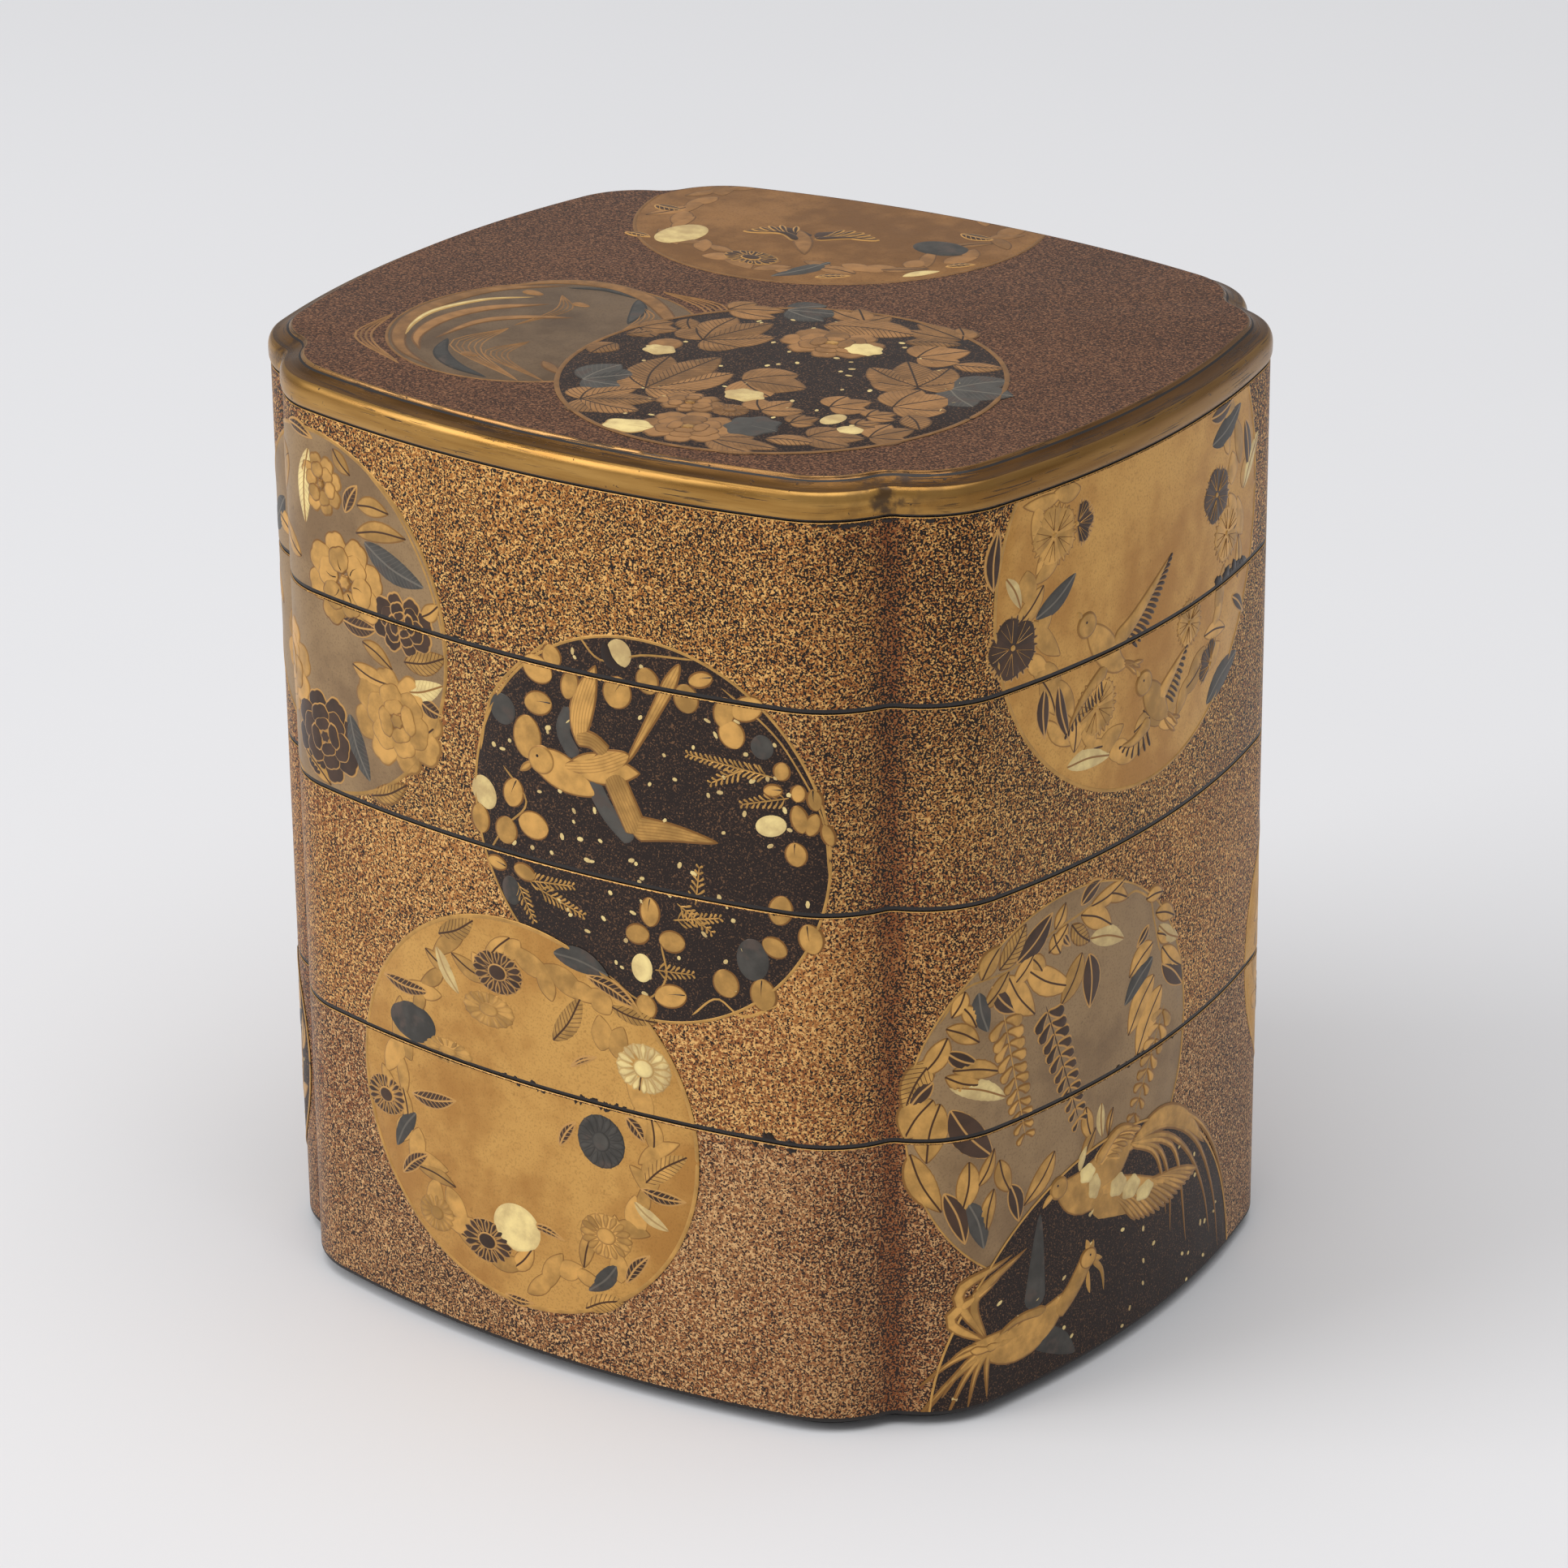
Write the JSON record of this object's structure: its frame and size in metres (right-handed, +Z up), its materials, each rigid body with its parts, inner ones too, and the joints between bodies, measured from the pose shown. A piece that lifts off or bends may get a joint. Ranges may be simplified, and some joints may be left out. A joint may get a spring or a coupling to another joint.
{
  "type": "tiered lacquer box",
  "caption": "Stacked food box of lobed plan with notched corners: open lacquered tiers that nest by a low foot, under a flush lid that lifts off.",
  "frame": {"origin": "middle of the foot's underside, on the surface that the box stands on", "axes": "+Z up through the stack; +X out of the narrower decorated face, -Y out of the wider decorated face"},
  "size_m": [0.2, 0.1806, 0.2153],
  "materials": {
    "lid_lacquer": "polished lacquer over wood, purple-brown with fine gold powder, gold edge",
    "tier_lacquer": "polished black lacquer over wood, densely sprinkled with gold grains",
    "gold_lacquer": "satin gold powder in lacquer",
    "gold_foil": "bright gold foil and flakes",
    "silver_foil": "tarnished silver foil",
    "dark_lacquer": "dark brown lacquer, polished",
    "olive_lacquer": "grey-olive lacquer with gold dust, polished"
  },
  "bodies": {
    "root": {"lid": "lid_lacquer", "top_tier": "tier_lacquer", "second_tier": "tier_lacquer", "third_tier": "tier_lacquer", "bottom_tier": "tier_lacquer"}
  },
  "joints": []
}
